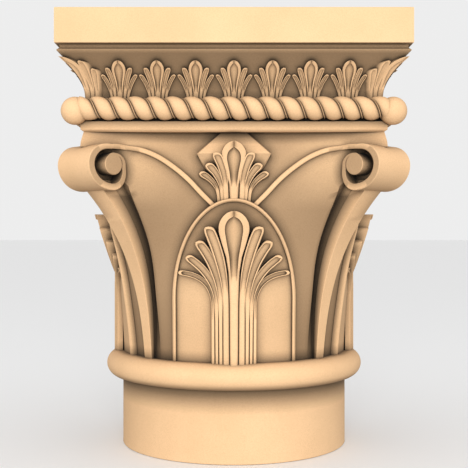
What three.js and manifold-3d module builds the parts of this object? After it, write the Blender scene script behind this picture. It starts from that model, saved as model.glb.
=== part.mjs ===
// Carved stone column capital: square slab, leaf frieze, rope, corner volutes and palmettes on a round neck.
// Millimetres, +Z up, resting on the neck's flat underside; the front face looks along -Y.
import * as THREE from "three";
import { mergeVertices } from "three/addons/utils/BufferGeometryUtils.js";
import Module from "manifold-3d";

// Neck and ring
const NECK_RADIUS = 150;
const NECK_HEIGHT = 90;
const RING_TUBE = 16.5;
const RING_REACH = 21.5; // how far the ring stands out past the neck
const ROUND_SEGMENTS = 32;
const RING_ARC_STEPS = 5;

// Bell: the body between the ring and the square band
const BELL_HEIGHT = 274;
const BELL_STEPS_ROUND = 6; // straight pieces across one face

// Square band, rope, frieze and slab
const BAND_HALF = 179.8;
const BAND_HEIGHT = 9.7;
const BAND_CHAMFER = 3.5;
const BAND_STEP = 8.5; // from the band's face back to the wall behind the rope
const ROPE_RADIUS = 13.9;
const ROPE_SHELF = 2; // the wall between the rope's top and the frieze
const ROPE_REACH = 7.2; // the rope's axis stands this far outside the band's face
const ROPE_STRANDS = 17; // on each face
const ROPE_GROOVE = 3;
const ROPE_LEAN = 14; // a strand's travel along the rope over its visible half
const BALL_RADIUS = 16.4;
const BALL_INSET = 1.8; // the ball's middle, inside the corner of the ropes' axes
const BALL_DROP = 2.7; // the ball's middle, below the rope's axis
const FRIEZE_HEIGHT = 48.5;
const SLAB_HALF = 205.7;
const SLAB_HEIGHT = 41;
const COVE_HEIGHT = 8;
const COVE_DEPTH = 3.4;
const FILLET_INSET = 2.2; // the fillet's sharp edge, inside the slab's face

// Frieze leaves
const FRIEZE_LEAVES = 7; // on each face, besides the corner leaves
const FRIEZE_CORNER_GAP = 14.9; // from the wall's corner to the first leaf's share of the face
const FRIEZE_LEAF_HEIGHT = 38;
const FRIEZE_LEAF_HALF = 8.2;
const FRIEZE_RELIEF = 3.6;
const CORNER_LEAF_HEIGHT = 42;
const CORNER_LEAF_HALF = 15;
const CORNER_LEAF_RELIEF = 4;

// Volutes, one on each diagonal
const VOLUTE_REACH = 264.9; // from the axis to the roll's outside, along the diagonal
const VOLUTE_LENGTH = 53.6;
const VOLUTE_HEIGHT = 54;
const VOLUTE_THICKNESS = 62.6;
const VOLUTE_TOP_DROP = 14; // the roll's top, below the band
const VOLUTE_RIM = 7.5;
const VOLUTE_CHANNEL_DEPTH = 20;
const EYE_RADIUS = 12.4;
const EYE_INSET = 9.1; // the eye's middle, inside the roll's middle
const EYE_RISE = 3.5; // the eye's middle, above the roll's middle

// Straps under the volutes, in grooves of the bell
const STRAP_FOOT_RELIEF = 0.5; // past the neck
const STRAP_FOOT_HALF = 6.5;
const STRAP_FOOT_STEPS = [2.5, 4]; // depth of its outer and inner step at the foot
const STRAP_TOP_INSET = 4.8; // inside the volute's middle, where it meets the roll
const STRAP_TOP_HALF = 16.5;
const STRAP_TOP_STEPS = [19.5, 17];
const STRAP_STEP_INSET = 2.5;
const STRAP_ROOT = 18; // how far it goes into the bell behind its steps
const GROOVE_MARGIN = 8.4; // from the strap's side to the groove's side

// Arch plate with its bead rim
const ARCH_HALF = 75;
const ARCH_SPRING = 92; // height of the arch's springing above the ring's middle
const ARCH_RISE = 122;
const ARCH_PLATE_RELIEF = 5;
const ARCH_RIM_RELIEF = 8.5;
const ARCH_RIM_WIDTH = 5;

// Palmettes
const PALM_HEIGHT = 196; // from the ring's middle to the large palmette's tip
const PALM_FOOT_RELIEF = 11;
const PALM_TIP_RELIEF = 27;
const PALM_CENTRE_HALF = 17;
const SMALL_PALM_HEIGHT = 70;
const SMALL_PALM_CENTRE_HALF = 14.5;
const SMALL_PALM_TIP_RELIEF = 22;

// Rib from the arch to the volute, and the boss behind the small palmette
const RIB_WIDTH = 5.6;
const RIB_RELIEF = 6;
const RIB_DEPTH = 16; // back into the bell at the arch, and twice as deep at the volute
const BOSS_TOP_HALF = 16.8;
const BOSS_HALF = 43.6;
const BOSS_HEIGHT = 40;
const BOSS_RELIEF = 15;

// Heights that follow from the sizes above
const RING_Z = NECK_HEIGHT + RING_TUBE;
const BELL_Z = NECK_HEIGHT + 2 * RING_TUBE;
const BAND_Z = BELL_Z + BELL_HEIGHT;
const BAND_TOP = BAND_Z + BAND_CHAMFER + BAND_HEIGHT;
const ROPE_Z = BAND_TOP + ROPE_RADIUS;
const ROPE_TOP = ROPE_Z + ROPE_RADIUS + ROPE_SHELF;
const FILLET_Z = ROPE_TOP + FRIEZE_HEIGHT;
const SLAB_Z = FILLET_Z + COVE_HEIGHT;
const TOP_Z = SLAB_Z + SLAB_HEIGHT;
const RING_RADIUS = NECK_RADIUS + RING_REACH - RING_TUBE;
const LEAF_FOOT = ROPE_TOP - 1.6 * ROPE_SHELF; // out of sight behind the rope
const ROPE_LINE = BAND_HALF + ROPE_REACH;
const WALL_HALF = BAND_HALF - BAND_STEP;
const FRIEZE_PITCH = (2 * (WALL_HALF - FRIEZE_CORNER_GAP)) / FRIEZE_LEAVES;
const VOLUTE_MID = VOLUTE_REACH - VOLUTE_LENGTH / 2;
const VOLUTE_TOP = BAND_Z - VOLUTE_TOP_DROP;
const VOLUTE_Z = VOLUTE_TOP - VOLUTE_HEIGHT / 2;
const VOLUTE_FOOT = VOLUTE_TOP - VOLUTE_HEIGHT;
const SPRING_Z = RING_Z + ARCH_SPRING;
const ARCH_TOP = SPRING_Z + ARCH_RISE;
const FILLET_HALF = SLAB_HALF - FILLET_INSET;

const wasm = await Module();
wasm.setup();

const lerp = THREE.MathUtils.lerp;
const share = (value, from, to) => THREE.MathUtils.clamp((value - from) / (to - from), 0, 1);

// Places: (u across, w out, z) on the front face, and (reach, side, z) on the front left diagonal
const onFace = (u, w, z) => [u, -w, z];
const onDiagonal = (reach, side, z) => [(side - reach) / Math.SQRT2, -(side + reach) / Math.SQRT2, z];

// Solids
function solidOf(geometry) {
  const bare = geometry.clone();
  bare.deleteAttribute("normal");
  bare.deleteAttribute("uv");
  const merged = mergeVertices(bare, 1e-4);
  const build = (flip) => {
    const triVerts = new Uint32Array(merged.index.array);
    for (let i = 0; flip && i < triVerts.length; i += 3) {
      [triVerts[i + 1], triVerts[i + 2]] = [triVerts[i + 2], triVerts[i + 1]];
    }
    const vertProperties = merged.attributes.position.array;
    return new wasm.Manifold(new wasm.Mesh({ numProp: 3, vertProperties, triVerts }));
  };
  const solid = build(false);
  return solid.volume() < 0 ? build(true) : solid;
}

// A closed solid through rings of points. Each end is closed over its ring, or over a flat outline of it.
function loft(rings, flatOutline) {
  const count = rings[0].length;
  const points = rings.flat();
  const faces = [];
  for (let i = 0; i + 1 < rings.length; i++) {
    for (let j = 0; j < count; j++) {
      const a = i * count + j;
      const b = i * count + ((j + 1) % count);
      faces.push(a, b, b + count, a, b + count, a + count);
    }
  }
  const last = (rings.length - 1) * count;
  for (const [a, b, c] of capTriangles(rings[0], flatOutline)) faces.push(a, c, b);
  for (const [a, b, c] of capTriangles(rings.at(-1), flatOutline)) faces.push(last + a, last + b, last + c);
  const geometry = new THREE.BufferGeometry();
  geometry.setAttribute("position", new THREE.BufferAttribute(new Float32Array(points.flat()), 3));
  geometry.setIndex(faces);
  return solidOf(geometry);
}

// Triangles over a flat ring of points, in the ring's own direction.
function capTriangles(ring, flatOutline) {
  if (flatOutline) return trianglesOver(flatOutline.map(([x, y]) => new THREE.Vector2(x, y)));
  const points = ring.map((p) => new THREE.Vector3(...p));
  const normal = new THREE.Vector3();
  points.forEach((p, i) => {
    const next = points[(i + 1) % points.length];
    normal.x += (p.y - next.y) * (p.z + next.z);
    normal.y += (p.z - next.z) * (p.x + next.x);
    normal.z += (p.x - next.x) * (p.y + next.y);
  });
  normal.normalize();
  const turn = new THREE.Quaternion().setFromUnitVectors(normal, new THREE.Vector3(0, 0, 1));
  const flat = points.map((p) => p.clone().applyQuaternion(turn));
  return trianglesOver(flat.map((p) => new THREE.Vector2(p.x, p.y)));
}

function trianglesOver(outline) {
  if (!THREE.ShapeUtils.isClockWise(outline)) return THREE.ShapeUtils.triangulateShape(outline, []);
  const last = outline.length - 1;
  const turned = THREE.ShapeUtils.triangulateShape([...outline].reverse(), []);
  return turned.map(([a, b, c]) => [last - a, last - c, last - b]);
}

function joined(solids) {
  return solids.reduce((whole, solid) => whole.add(solid));
}

// The same solid on all four faces, or on all four diagonals.
function fourTimes(solid) {
  return joined([0, 1, 2, 3].map((turn) => solid.rotate([0, 0, 90 * turn])));
}

function leftAndRight(solid) {
  return solid.add(solid.mirror([1, 0, 0]));
}

// Square mouldings: one profile of (half width, height), carried round four mitred corners.
function squareMoulding(profile) {
  const corners = [[-1, -1], [1, -1], [1, 1], [-1, 1]];
  return loft(profile.map(([half, z]) => corners.map(([x, y]) => [x * half, y * half, z])));
}

// The hollow frieze face behind the leaves, half width at a height.
function friezeHalf(z) {
  const t = share(z, ROPE_TOP, FILLET_Z);
  return lerp(WALL_HALF, FILLET_HALF, t ** 1.9);
}

function entablature() {
  const coveTop = SLAB_Z - 0.2 * COVE_HEIGHT;
  const frieze = [0, 0.6].map((t) => {
    const z = lerp(ROPE_TOP, FILLET_Z, t);
    return [friezeHalf(z), z];
  });
  return squareMoulding([
    [BAND_HALF - BAND_CHAMFER, BAND_Z],
    [BAND_HALF, BAND_Z + BAND_CHAMFER],
    [BAND_HALF, BAND_TOP],
    [WALL_HALF, BAND_TOP],
    ...frieze,
    [FILLET_HALF, FILLET_Z],
    [FILLET_HALF - 0.3 * COVE_DEPTH, FILLET_Z + 0.35 * COVE_HEIGHT],
    [SLAB_HALF - COVE_DEPTH, coveTop],
    [SLAB_HALF, SLAB_Z],
    [SLAB_HALF, TOP_Z],
  ]);
}

function neckAndRing() {
  const arc = [];
  for (let i = 0; i <= RING_ARC_STEPS; i++) {
    const angle = lerp(-Math.PI / 2, Math.PI / 2, i / RING_ARC_STEPS);
    const [out, up] = [RING_TUBE * Math.cos(angle), RING_TUBE * Math.sin(angle)];
    arc.push(new THREE.Vector2(RING_RADIUS + out, RING_Z + up));
  }
  const profile = [
    new THREE.Vector2(0, 0),
    new THREE.Vector2(NECK_RADIUS, 0),
    new THREE.Vector2(NECK_RADIUS, NECK_HEIGHT),
    ...arc,
    new THREE.Vector2(0, RING_Z + RING_TUBE),
  ];
  const turned = new THREE.LatheGeometry(profile, ROUND_SEGMENTS);
  turned.rotateX(Math.PI / 2);
  return solidOf(turned);
}

// Bell: t is a height's share of its own height. A face's middle stands out by its share of the way from the
// neck to the band, and a corner by its share of the way from the neck to the volutes' middle.
const BELL_LEVELS = [
  { t: -0.06, middle: -0.2, corner: -0.07, squareness: 0, power: 2 },
  { t: 0.27, middle: -0.05, corner: 0.064, squareness: 0, power: 2 },
  { t: 0.49, middle: 0.1, corner: 0.24, squareness: 0, power: 2 },
  { t: 0.65, middle: 0.27, corner: 0.51, squareness: 0.5, power: 4 },
  { t: 0.76, middle: 0.386, corner: 0.77, squareness: 1, power: 5 },
  { t: 0.85, middle: 0.436, corner: 0.914, squareness: 1, power: 4 },
  { t: 0.94, middle: 0.352, corner: 1.187, squareness: 1, power: 2.4 },
  { t: 1.01, middle: 0.235, corner: 1.124, squareness: 1, power: 2.2 },
];

const middleAt = (portion) => lerp(NECK_RADIUS, BAND_HALF, portion);
const cornerAt = (portion) => lerp(NECK_RADIUS, VOLUTE_MID, portion);

function bellRing(level) {
  const middle = middleAt(level.middle);
  const corner = cornerAt(level.corner);
  const cornerHalf = corner / Math.SQRT2;
  const ring = [];
  for (let face = 0; face < 4; face++) {
    const turn = (face * Math.PI) / 2;
    for (let i = 0; i < BELL_STEPS_ROUND; i++) {
      const s = -1 + (2 * i) / BELL_STEPS_ROUND;
      const angle = (s * Math.PI) / 4;
      const radius = lerp(middle, corner, s * s);
      const round = [radius * Math.sin(angle), radius * Math.cos(angle)];
      const square = [s * cornerHalf, lerp(middle, cornerHalf, Math.abs(s) ** level.power)];
      const u = lerp(round[0], square[0], level.squareness);
      const w = lerp(round[1], square[1], level.squareness);
      const [x, y, z] = onFace(u, w, BELL_Z + level.t * BELL_HEIGHT);
      ring.push([x * Math.cos(turn) - y * Math.sin(turn), x * Math.sin(turn) + y * Math.cos(turn), z]);
    }
  }
  return ring;
}

function bell() {
  return loft(BELL_LEVELS.map(bellRing));
}

// The bell between two of its levels, at a height
function levelAt(z) {
  const t = (z - BELL_Z) / BELL_HEIGHT;
  const next = Math.max(BELL_LEVELS.findIndex((level) => level.t >= t), 1);
  const [lower, upper] = [BELL_LEVELS[next - 1], BELL_LEVELS[next]];
  const between = share(t, lower.t, upper.t);
  return { lower, upper, between };
}

// How far the bell's face stands out at a height: in the middle of a face, and at a distance from its middle
function bellMid(z) {
  const { lower, upper, between } = levelAt(z);
  return middleAt(lerp(lower.middle, upper.middle, between));
}

function bellFace(u, z) {
  const { lower, upper, between } = levelAt(z);
  const outAt = (level) => {
    const places = bellRing(level).slice(0, BELL_STEPS_ROUND + 1).map(([x, y]) => [x, -y]);
    const next = Math.max(places.findIndex(([across]) => across >= u), 1);
    const [a, b] = [places[next - 1], places[next]];
    return lerp(a[1], b[1], share(u, a[0], b[0]));
  };
  return lerp(outAt(lower), outAt(upper), between);
}

// Strap: its outer face leans out from the ring to the foot of the volute, at 1, and on into the roll.
const STRAP_STATIONS = [0, 0.35, 0.62, 0.85, 1.055];
const GROOVE_STATIONS = [0, 0.35, 0.62, 0.85, 1.04];

function strapAt(t) {
  const lean = 0.217 * t + 0.783 * t ** 3;
  const reach = lerp(NECK_RADIUS + STRAP_FOOT_RELIEF, VOLUTE_MID - STRAP_TOP_INSET, lean);
  const half = lerp(STRAP_FOOT_HALF, STRAP_TOP_HALF, t ** 1.6);
  const step = reach - lerp(STRAP_FOOT_STEPS[0], STRAP_TOP_STEPS[0], t);
  const floor = step - lerp(STRAP_FOOT_STEPS[1], STRAP_TOP_STEPS[1], t ** 1.2);
  return { z: lerp(RING_Z, VOLUTE_FOOT, t), reach, half, step, floor };
}

function strap() {
  const rings = STRAP_STATIONS.map((t) => {
    const { z, reach, half, step, floor } = strapAt(t);
    const inner = half - STRAP_STEP_INSET;
    const right = [[reach, half], [step, half], [step, inner], [floor - STRAP_ROOT, inner]];
    const left = right.map(([r, n]) => [r, -n]).reverse();
    return [...right, ...left].map(([r, n]) => onDiagonal(r, n, z));
  });
  return loft(rings);
}

// The cutter that leaves a groove on both sides of a strap.
function strapGroove() {
  const rings = GROOVE_STATIONS.map((t) => {
    const { z, half, floor } = strapAt(t);
    const side = half + GROOVE_MARGIN;
    return [[floor, -side], [floor, side], [VOLUTE_REACH, side], [VOLUTE_REACH, -side]]
      .map(([r, n]) => onDiagonal(r, n, z));
  });
  return loft(rings);
}

// Volute: a thick roll with a channel sunk into each side around its eye.
function ovalPrism(reach, z, halfReach, halfHeight, fromSide, toSide, steps) {
  const outline = [];
  for (let i = 0; i < steps; i++) {
    const angle = (2 * Math.PI * i) / steps;
    outline.push([reach + halfReach * Math.cos(angle), z + halfHeight * Math.sin(angle)]);
  }
  return loft([fromSide, toSide].map((n) => outline.map(([r, h]) => onDiagonal(r, n, h))));
}

function volute() {
  const side = VOLUTE_THICKNESS / 2;
  const roll = ovalPrism(VOLUTE_MID, VOLUTE_Z, VOLUTE_LENGTH / 2, VOLUTE_HEIGHT / 2, -side, side, 12);
  const channelHalf = VOLUTE_LENGTH / 2 - VOLUTE_RIM;
  const channelHalfHeight = VOLUTE_HEIGHT / 2 - VOLUTE_RIM;
  const floor = side - VOLUTE_CHANNEL_DEPTH;
  const channels = [1, -1].map((hand) =>
    ovalPrism(VOLUTE_MID, VOLUTE_Z, channelHalf, channelHalfHeight, hand * floor, hand * (side + 1), 9));
  const eye = ovalPrism(VOLUTE_MID - EYE_INSET, VOLUTE_Z + EYE_RISE, EYE_RADIUS, EYE_RADIUS, -side, side, 8);
  return roll.subtract(joined(channels)).add(eye);
}

// Arch plate: a slab that follows the bell under an arch, with a raised rim round it.
const ARCH_STEPS = 8;
const ARCH_LEVELS = [0, 0.5, 0.78, 1]; // of the arch's rise above its springing
const ARCH_COLUMNS = 3;

function archPlate() {
  const edge = ARCH_RIM_WIDTH / 2; // the plate ends under the middle of its rim
  const [half, rise] = [ARCH_HALF - edge, ARCH_RISE - edge];
  const curveAt = (t) => ({ z: SPRING_Z + t * rise, half: Math.max(half * Math.sqrt(1 - t * t), edge) });
  const levels = [{ z: RING_Z, half }, ...ARCH_LEVELS.map(curveAt)];
  const rings = levels.map(({ z, half: reach }) => {
    const across = Array.from({ length: ARCH_COLUMNS + 1 }, (_, j) => reach * ((2 * j) / ARCH_COLUMNS - 1));
    const front = across.map((u) => onFace(u, bellFace(u, z) + ARCH_PLATE_RELIEF, z));
    const back = across.slice().reverse().map((u) => onFace(u, bellFace(u, z) - ARCH_PLATE_RELIEF, z));
    return [...front, ...back];
  });
  return loft(rings);
}

// The rim: one leg, the arch and the other leg
function archRim() {
  const turns = Array.from({ length: ARCH_STEPS + 1 }, (_, i) => Math.PI * (1 - i / ARCH_STEPS));
  const pointAt = (turn, inset) => [
    (ARCH_HALF - inset) * Math.cos(turn),
    SPRING_Z + (ARCH_RISE - inset) * Math.sin(turn),
  ];
  const ringAt = ([[u0, z0], [u1, z1]]) => [
    onFace(u0, bellFace(u0, z0) - ARCH_RIM_WIDTH, z0),
    onFace(u0, bellFace(u0, z0) + ARCH_RIM_RELIEF, z0),
    onFace(u1, bellFace(u1, z1) + ARCH_RIM_RELIEF, z1),
    onFace(u1, bellFace(u1, z1) - ARCH_RIM_WIDTH, z1),
  ];
  const leg = (hand) => [[hand * ARCH_HALF, RING_Z], [hand * (ARCH_HALF - ARCH_RIM_WIDTH), RING_Z]];
  const arch = turns.map((turn) => [pointAt(turn, 0), pointAt(turn, ARCH_RIM_WIDTH)]);
  const stations = [leg(-1), ...arch, leg(1)];
  return loft(stations.map(ringAt));
}

// A palmette is one pleated fan: a ridge up the middle of each side lobe, a valley between two lobes,
// and a broad centre lobe with a rim on both sides of its hollow.
function palmette({ stations, footZ, tipZ, back, front, tipRelief, valley, notch, centre, sides }) {
  const ridge = (side, t, reach = 0) => {
    const z = lerp(footZ, tipZ - side.drop - reach, t);
    const lean = share(t, side.bend, 1) ** 1.7;
    const relief = tipRelief * side.relief * t ** 2.4;
    return { u: lerp(side.foot, side.tip - 0.5 * reach, lean), z, relief };
  };
  const columnsAt = (t) => {
    const width = centre.widths[stations.indexOf(t)];
    const columns = [
      { u: 0, z: lerp(footZ, tipZ, t), relief: tipRelief * t ** 2.4 - 1.5 },
      { u: width, z: lerp(footZ, tipZ - (t === 1 ? centre.shoulder : 0), t), relief: tipRelief * t ** 2.4 },
    ];
    let inner = { foot: centre.foot, tip: centre.foot * 2.4, drop: 0, bend: sides[0].bend, relief: 1 };
    for (const side of sides) {
      const low = ridge(side, t, notch * t);
      const lowInner = ridge(inner, t, notch * t);
      const u = inner.tip < sides[0].tip ? Math.max(width + 0.8, low.u - 4) : (low.u + lowInner.u) / 2;
      columns.push({ u, z: (low.z + (u > width + 1 ? lowInner.z : low.z)) / 2, relief: low.relief - valley });
      columns.push(ridge(side, t));
      inner = side;
    }
    const edge = ridge(sides.at(-1), t, notch * t);
    columns.push({ u: edge.u + 3.5 * (1 - 0.4 * t), z: edge.z - 3 * t, relief: edge.relief - valley });
    return columns;
  };
  const place = ({ u, z }, hand, radius) => onFace(hand * u, Math.sqrt(radius * radius - u * u), z);
  const ringOf = (columns, radiusOf) => {
    const right = columns.map((c) => place(c, 1, radiusOf(c)));
    const left = columns.slice(1).map((c) => place(c, -1, radiusOf(c))).reverse();
    const outer = columns.at(-1);
    return [...left, ...right, place(outer, 1, back - 5), place(outer, -1, back - 5)];
  };
  const rings = stations.map((t) => ringOf(columnsAt(t), (c) => front + c.relief));
  const tips = ringOf(columnsAt(1), () => back);
  return loft([...rings, tips]);
}

// Large palmette on the arch plate: four lobes on each side of the centre lobe.
function largePalmette() {
  return palmette({
    stations: [0, 0.52, 0.8, 1],
    footZ: RING_Z + 6,
    tipZ: RING_Z + PALM_HEIGHT,
    back: NECK_RADIUS - 2,
    front: NECK_RADIUS + PALM_FOOT_RELIEF,
    tipRelief: PALM_TIP_RELIEF,
    valley: 4,
    notch: 12,
    centre: { foot: 4.9, widths: [4.9, 6, PALM_CENTRE_HALF, 8], shoulder: 5 },
    sides: [
      { foot: 9.8, tip: 31.8, drop: 17, bend: 0.3, relief: 0.8 },
      { foot: 16.4, tip: 44.2, drop: 35, bend: 0.34, relief: 0.55 },
      { foot: 20.9, tip: 56.6, drop: 53, bend: 0.4, relief: 0.28 },
      { foot: 24.8, tip: 65.5, drop: 70, bend: 0.5, relief: 0.08 },
    ],
  });
}

// Small palmette above the arch: three lobes on each side.
function smallPalmette() {
  const footZ = ARCH_TOP - 8;
  return palmette({
    stations: [0, 0.6, 1],
    footZ,
    tipZ: footZ + SMALL_PALM_HEIGHT,
    back: NECK_RADIUS + 4,
    front: bellMid(footZ) + 8,
    tipRelief: SMALL_PALM_TIP_RELIEF - 6,
    valley: 3,
    notch: 9,
    centre: { foot: 5.5, widths: [5.5, SMALL_PALM_CENTRE_HALF, 8], shoulder: 4 },
    sides: [
      { foot: 9, tip: 23.5, drop: 9, bend: 0, relief: 0.9 },
      { foot: 14, tip: 32.4, drop: 22, bend: 0, relief: 0.7 },
      { foot: 18.5, tip: 41, drop: 34, bend: 0, relief: 0.5 },
    ],
  });
}

// Boss: a faceted wedge under the band, with a level crease across it.
function boss() {
  const crease = BAND_Z - 0.61 * BOSS_HEIGHT;
  const foot = BAND_Z - BOSS_HEIGHT;
  const back = bellMid(crease) - 12;
  const front = bellMid(crease) + BOSS_RELIEF;
  const section = (half, w, z) => [[-half, back, z], [half, back, z], [half, w, z], [-half, w, z]]
    .map((p) => onFace(...p));
  return loft([
    section(BOSS_TOP_HALF, bellMid(crease) + 2, BAND_Z + 1),
    section(BOSS_HALF, front, crease),
    section(0.75 * BOSS_HALF, bellMid(crease) + 3, foot),
  ]);
}

// Rib: a raised band that leaves the arch's top and runs up to the volute's rim.
const RIB_STATIONS = [0, 0.25, 0.6, 1];

function rib() {
  const rimSide = (reach) => [
    (VOLUTE_THICKNESS / 2 - reach) / Math.SQRT2,
    (VOLUTE_THICKNESS / 2 + reach) / Math.SQRT2,
  ];
  const start = { u: -0.32 * ARCH_HALF, z: ARCH_TOP - 2 * RIB_WIDTH };
  const endU = rimSide(VOLUTE_MID - VOLUTE_LENGTH / 2)[0];
  const line = RIB_STATIONS.map((t) => {
    const z = lerp(start.z, VOLUTE_TOP - RIB_WIDTH / 4, Math.sin((t ** 0.95 * Math.PI) / 2));
    return [lerp(start.u, endU, t), bellMid(z) + RIB_RELIEF, z];
  });
  line.push([...rimSide(VOLUTE_MID), VOLUTE_TOP - RIB_WIDTH / 4]);
  const rings = line.map(([u, w, z], i) => {
    const before = line[Math.max(i - 1, 0)];
    const after = line[Math.min(i + 1, line.length - 1)];
    const along = new THREE.Vector2(after[0] - before[0], after[2] - before[2]).normalize();
    const [du, dz] = [(along.y * RIB_WIDTH) / 2, (-along.x * RIB_WIDTH) / 2];
    const root = w - RIB_DEPTH * (1 + i / (line.length - 1));
    return [[u - du, root, z - dz], [u - du, w, z - dz], [u + du, w, z + dz], [u + du, root, z + dz]]
      .map((p) => onFace(...p));
  });
  return leftAndRight(loft(rings));
}

// Rope: strands leaning along each face, from ball to ball
function rope() {
  const end = ROPE_LINE - BALL_INSET;
  const pitch = (2 * end) / ROPE_STRANDS;
  const root = WALL_HALF - ROPE_GROOVE;
  const rings = [];
  for (let i = 0; i <= 2 * ROPE_STRANDS; i++) {
    const radius = ROPE_RADIUS - (i % 2 ? 0 : ROPE_GROOVE);
    const middle = -end + (i * pitch) / 2;
    const lean = ROPE_LEAN * Math.min((end - Math.abs(middle)) / BALL_RADIUS, 1);
    const across = (t) => middle + lean * (1.55 * t - 0.55 * t * t - 0.5);
    const ring = [[across(0), root, ROPE_Z + ROPE_RADIUS]];
    for (const t of [0.22, 0.78]) {
      const angle = Math.PI * (0.5 - t);
      ring.push([across(t), ROPE_LINE + radius * Math.cos(angle), ROPE_Z + radius * Math.sin(angle)]);
    }
    ring.push([across(1), root, BAND_TOP - ROPE_SHELF]);
    rings.push(ring.map((p) => onFace(...p)));
  }
  return loft(rings);
}

// The ball on the corner where two ropes meet
function ball() {
  const geometry = new THREE.SphereGeometry(BALL_RADIUS, 8, 5);
  geometry.rotateX(Math.PI / 2);
  geometry.translate(BALL_INSET - ROPE_LINE, BALL_INSET - ROPE_LINE, ROPE_Z - BALL_DROP);
  return solidOf(geometry);
}

// A raised pad with a leaf's outline, following the hollow frieze face.
function friezePad(outline) {
  const ringAt = (rise) => outline.map(([u, z]) => onFace(u, friezeHalf(z) + rise, z));
  return loft([ringAt(-FRIEZE_RELIEF), ringAt(FRIEZE_RELIEF)], outline);
}

// Outline of a leaf of five lobes: half of it, from the foot to the tip, and its mirror image.
function friezePalmette(middle) {
  const height = FRIEZE_LEAF_HEIGHT + ROPE_TOP - LEAF_FOOT;
  const half = [
    [1.28, 0], [2.6, 0.68], [1.5, 0.55], [1.9, 0.88], [0.75, 0.6], [0.95, 0.84],
  ].map(([u, t]) => [u * FRIEZE_LEAF_HALF, LEAF_FOOT + t * height]);
  const tip = [[0, LEAF_FOOT + height]];
  const mirrored = half.map(([u, z]) => [-u, z]).reverse();
  return friezePad([...half, ...tip, ...mirrored].map(([u, z]) => [middle + u, z]));
}

function frieze() {
  const leaves = [];
  for (let i = 0; i < FRIEZE_LEAVES; i++) {
    leaves.push(friezePalmette((i - (FRIEZE_LEAVES - 1) / 2) * FRIEZE_PITCH));
  }
  return joined(leaves);
}

// The larger leaf on each corner of the frieze, with a lobe beside it on both faces.
function cornerLeaf() {
  const height = CORNER_LEAF_HEIGHT + ROPE_TOP - LEAF_FOOT;
  const stations = [[0, 0.36], [0.5, 0.6], [0.82, 1], [1, 0.35]];
  const centre = loft(stations.map(([t, width]) => {
    const z = LEAF_FOOT + t * height;
    const arris = friezeHalf(z) * Math.SQRT2;
    const half = width * CORNER_LEAF_HALF;
    const front = arris + CORNER_LEAF_RELIEF;
    const root = arris - half - 3 * CORNER_LEAF_RELIEF;
    return [[root, 0], [front - 0.6 * half, -half], [front, 0], [front - 0.6 * half, half]]
      .map(([r, n]) => onDiagonal(r, n, z));
  }));
  const lobe = [[0.22, 0], [0.75, 0], [1.02, 0.68], [0.55, 0.5], [0.06, 0.9]]
    .map(([u, t]) => [u * CORNER_LEAF_HALF - WALL_HALF, LEAF_FOOT + t * height]);
  return centre.add(leftAndRight(friezePad(lobe)));
}

function capital() {
  const body = bell().subtract(fourTimes(strapGroove()));
  const face = [archPlate(), archRim(), largePalmette(), smallPalmette(), boss(), rib(), rope(), frieze()];
  const corner = [ball(), cornerLeaf(), volute(), strap()];
  return joined([neckAndRing(), body, entablature(), fourTimes(joined([...face, ...corner]))]);
}

function meshOf(solid, name, material) {
  const mesh = solid.getMesh();
  const geometry = new THREE.BufferGeometry();
  geometry.setAttribute("position", new THREE.BufferAttribute(new Float32Array(mesh.vertProperties), 3));
  geometry.setIndex(new THREE.BufferAttribute(new Uint32Array(mesh.triVerts), 1));
  geometry.computeVertexNormals();
  const part = new THREE.Mesh(geometry, material);
  part.name = name;
  return part;
}

const stone = new THREE.MeshStandardMaterial({ color: 0xe3bd8c, roughness: 0.85, metalness: 0 });
const root = new THREE.Group();
root.name = "column_capital";
root.add(meshOf(capital(), "capital", stone));

export default root;
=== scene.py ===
"""Looks of the carved stone column capital: one finely carved block in the place of the plain solid.

Lengths are in millimetres up to the point where a mesh is made. The front face looks along -Y.
A place on a face is (u across, w out from the axis, z up); one on a corner is (reach, side, z).
"""

import math

import bmesh
import bpy
import numpy as np
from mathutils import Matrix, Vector


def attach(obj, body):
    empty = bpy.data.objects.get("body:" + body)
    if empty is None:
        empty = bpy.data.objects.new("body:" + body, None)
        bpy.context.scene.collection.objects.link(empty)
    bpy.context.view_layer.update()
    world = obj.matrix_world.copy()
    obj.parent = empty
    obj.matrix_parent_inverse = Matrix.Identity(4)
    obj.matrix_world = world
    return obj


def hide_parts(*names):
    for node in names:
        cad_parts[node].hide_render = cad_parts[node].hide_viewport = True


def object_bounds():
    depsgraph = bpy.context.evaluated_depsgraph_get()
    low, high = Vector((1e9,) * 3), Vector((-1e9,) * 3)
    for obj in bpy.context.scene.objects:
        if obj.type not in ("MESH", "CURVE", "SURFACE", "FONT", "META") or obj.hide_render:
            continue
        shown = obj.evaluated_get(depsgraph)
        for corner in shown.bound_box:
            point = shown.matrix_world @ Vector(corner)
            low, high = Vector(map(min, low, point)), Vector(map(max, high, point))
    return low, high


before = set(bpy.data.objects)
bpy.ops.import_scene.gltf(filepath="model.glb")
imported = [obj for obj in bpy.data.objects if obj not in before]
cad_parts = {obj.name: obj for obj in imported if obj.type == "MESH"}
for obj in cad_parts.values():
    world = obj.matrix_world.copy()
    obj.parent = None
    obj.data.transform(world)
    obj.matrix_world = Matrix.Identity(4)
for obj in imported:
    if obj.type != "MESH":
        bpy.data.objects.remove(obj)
cad_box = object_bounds()

MM = 0.001
TOP_Z = (cad_box[1][2] - cad_box[0][2]) / MM

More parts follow.
